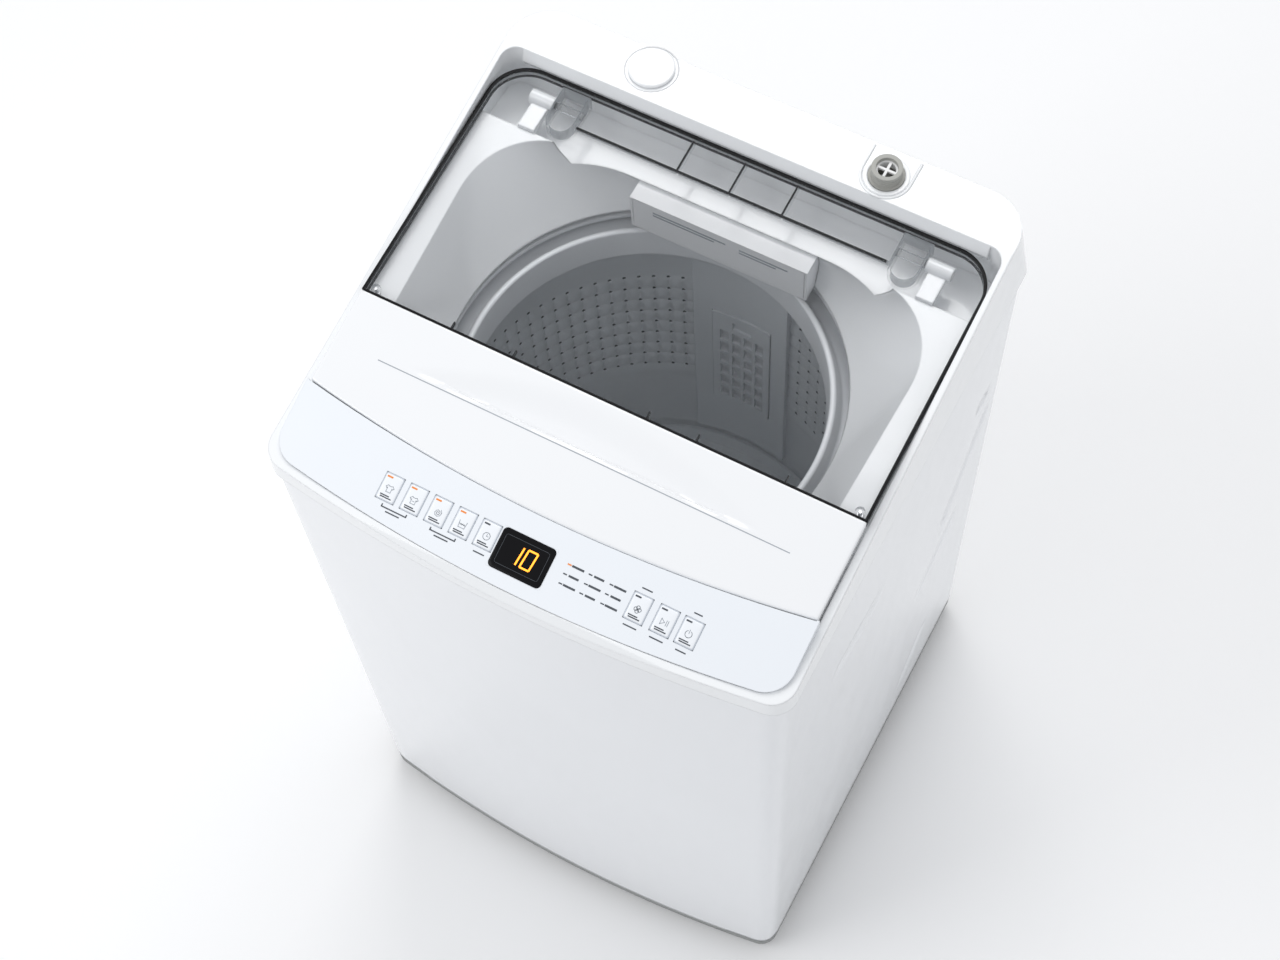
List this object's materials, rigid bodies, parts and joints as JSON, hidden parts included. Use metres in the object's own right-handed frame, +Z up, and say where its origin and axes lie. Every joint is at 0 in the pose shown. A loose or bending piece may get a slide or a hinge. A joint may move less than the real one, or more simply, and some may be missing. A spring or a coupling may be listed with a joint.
{
  "type": "top load washing machine",
  "caption": "Rod hung, belt driven top load washing machine with a rear hinged clear lid, a sloped key panel and a dimpled steel basket.",
  "frame": {"origin": "on the floor under the middle of the machine", "axes": "+Z up, the control panel faces -Y, +X to the right of someone facing it"},
  "size_m": [0.526, 0.525, 0.934],
  "materials": {
    "cover_white": "glossy moulded white",
    "front_white": "glossy moulded white",
    "panel_white": "glossy, faintly bluish white",
    "cabinet_white": "smooth baked enamel on sheet steel",
    "clear_smoke": "clear light smoke moulding",
    "lens_black": "glossy black lens with orange digits",
    "base_grey": "fine textured grey moulding",
    "foot_rubber": "moulded rubber",
    "rear_zinc": "galvanised sheet",
    "screw_steel": "bright zinc plated steel",
    "bearing_steel": "ground steel",
    "drum_steel": "dimpled stainless sheet",
    "ring_grey": "satin light grey moulding",
    "channel_grey": "satin grey moulding",
    "pulsator_grey": "glossy grey moulding",
    "tub_plastic": "natural polypropylene",
    "nozzle_grey": "grey moulding",
    "filter_white": "white moulding",
    "inner_white": "satin white moulding",
    "valve_white": "white nylon",
    "black_plastic": "black moulding",
    "seal_rubber": "black rubber",
    "board_green": "green laminate",
    "cast_metal": "sand cast",
    "pulley_metal": "turned die casting",
    "motor_metal": "laminated and lacquered steel"
  },
  "bodies": {
    "cabinet": {"cabinet_panels": "cabinet_white", "back_panel": "rear_zinc", "back_panel_screws": "screw_steel", "cord_gland": "black_plastic", "base_frame": "base_grey", "fixed_feet": "foot_rubber", "side_screw_caps": "cover_white", "top_cover": "cover_white", "control_panel": "panel_white", "display_window": "lens_black", "control_board": "board_green", "key_switches": "black_plastic", "hinge_barrels": "cover_white", "lid_switch": "black_plastic", "inlet_nozzle": "nozzle_grey", "inlet_filter": "filter_white", "inlet_valve": "valve_white", "fill_housing": "inner_white", "pressure_switch": "valve_white", "drain_outlet": "black_plastic", "motor_capacitor": "black_plastic", "suspension_rods": "screw_steel", "suspension_springs": "screw_steel"},
    "tub": {"outer_tub": "tub_plastic", "tub_ring": "ring_grey", "drain_valve": "valve_white", "drain_elbow": "seal_rubber", "gearcase": "cast_metal", "main_bearings": "bearing_steel", "shaft_seal": "seal_rubber", "motor_plate": "rear_zinc", "motor_stator": "motor_metal", "drive_belt": "seal_rubber"},
    "basket": {"basket_wall": "drum_steel", "basket_base": "channel_grey", "spin_tube": "screw_steel", "balance_ring": "ring_grey", "water_channel": "channel_grey"},
    "filter": {"lint_filter": "channel_grey"},
    "agitator": {"pulsator": "pulsator_grey", "pulsator_screw": "screw_steel", "wash_shaft": "screw_steel", "drive_pulley": "pulley_metal"},
    "rotor": {"motor_rotor": "motor_metal", "motor_pulley": "pulley_metal"},
    "lid": {"lid_window": "clear_smoke", "lid_handle": "front_white", "lid_screws": "screw_steel", "lid_hinge_pins": "clear_smoke"},
    "drawer": {"detergent_drawer": "inner_white"},
    "bath_cap": {"bath_inlet_cap": "cover_white"},
    "foot": {"level_foot": "foot_rubber"},
    "wash_key": {"key_wash": "panel_white"},
    "rinse_key": {"key_rinse": "panel_white"},
    "spin_key": {"key_spin": "panel_white"},
    "level_key": {"key_level": "panel_white"},
    "timer_key": {"key_timer": "panel_white"},
    "course_key": {"key_course": "panel_white"},
    "start_key": {"key_start": "panel_white"},
    "power_key": {"key_power": "panel_white"}
  },
  "joints": [
    {"name": "tub_bounce", "type": "slide", "parent": "cabinet", "child": "tub", "axis": [0, 0, 1], "range_m": [-0.008, 0.008], "stiffness_N_per_m": 30000, "springref_m": 0.00785, "deforming": ["suspension_springs"]},
    {"name": "basket_spin", "type": "hinge", "parent": "tub", "child": "basket", "pos_m": [0, -0.008, 0.3], "axis": [0, 0, 1], "continuous": true},
    {"name": "pulsator_spin", "type": "hinge", "parent": "tub", "child": "agitator", "pos_m": [0, -0.008, 0.3], "axis": [0, 0, 1], "continuous": true},
    {"name": "rotor_spin", "type": "hinge", "parent": "tub", "child": "rotor", "pos_m": [0.14, -0.008, 0.2], "axis": [0, 0, 1], "continuous": true},
    {"name": "filter_slide", "type": "slide", "parent": "basket", "child": "filter", "axis": [0, -1, 0], "range_m": [0, 0.06]},
    {"name": "lid_hinge", "type": "hinge", "parent": "cabinet", "child": "lid", "pos_m": [0, 0.178, 0.8925], "axis": [-1, 0, 0], "range_deg": [0, 100]},
    {"name": "drawer_slide", "type": "slide", "parent": "cabinet", "child": "drawer", "axis": [0, -1, 0], "range_m": [0, 0.055]},
    {"name": "cap_lift", "type": "slide", "parent": "cabinet", "child": "bath_cap", "axis": [0, 0, 1], "range_m": [0, 0.02]},
    {"name": "foot_turn", "type": "hinge", "parent": "cabinet", "child": "foot", "pos_m": [0.219, -0.1977, 0.02], "axis": [0, 0, 1], "continuous": true},
    {"name": "wash_press", "type": "slide", "parent": "cabinet", "child": "wash_key", "axis": [0, 0.2857, -0.9583], "range_m": [0, 0.001], "stiffness_N_per_m": 600, "springref_m": -0.0008},
    {"name": "rinse_press", "type": "slide", "parent": "cabinet", "child": "rinse_key", "axis": [0, 0.2857, -0.9583], "range_m": [0, 0.001], "stiffness_N_per_m": 600, "springref_m": -0.0008},
    {"name": "spin_press", "type": "slide", "parent": "cabinet", "child": "spin_key", "axis": [0, 0.2857, -0.9583], "range_m": [0, 0.001], "stiffness_N_per_m": 600, "springref_m": -0.0008},
    {"name": "level_press", "type": "slide", "parent": "cabinet", "child": "level_key", "axis": [0, 0.2857, -0.9583], "range_m": [0, 0.001], "stiffness_N_per_m": 600, "springref_m": -0.0008},
    {"name": "timer_press", "type": "slide", "parent": "cabinet", "child": "timer_key", "axis": [0, 0.2857, -0.9583], "range_m": [0, 0.001], "stiffness_N_per_m": 600, "springref_m": -0.0008},
    {"name": "course_press", "type": "slide", "parent": "cabinet", "child": "course_key", "axis": [0, 0.2857, -0.9583], "range_m": [0, 0.001], "stiffness_N_per_m": 600, "springref_m": -0.0008},
    {"name": "start_press", "type": "slide", "parent": "cabinet", "child": "start_key", "axis": [0, 0.2857, -0.9583], "range_m": [0, 0.001], "stiffness_N_per_m": 600, "springref_m": -0.0008},
    {"name": "power_press", "type": "slide", "parent": "cabinet", "child": "power_key", "axis": [0, 0.2857, -0.9583], "range_m": [0, 0.001], "stiffness_N_per_m": 600, "springref_m": -0.0008}
  ],
  "couplings": [
    {"joint": "rotor_spin", "follows": "pulsator_spin", "ratio": 3}
  ]
}
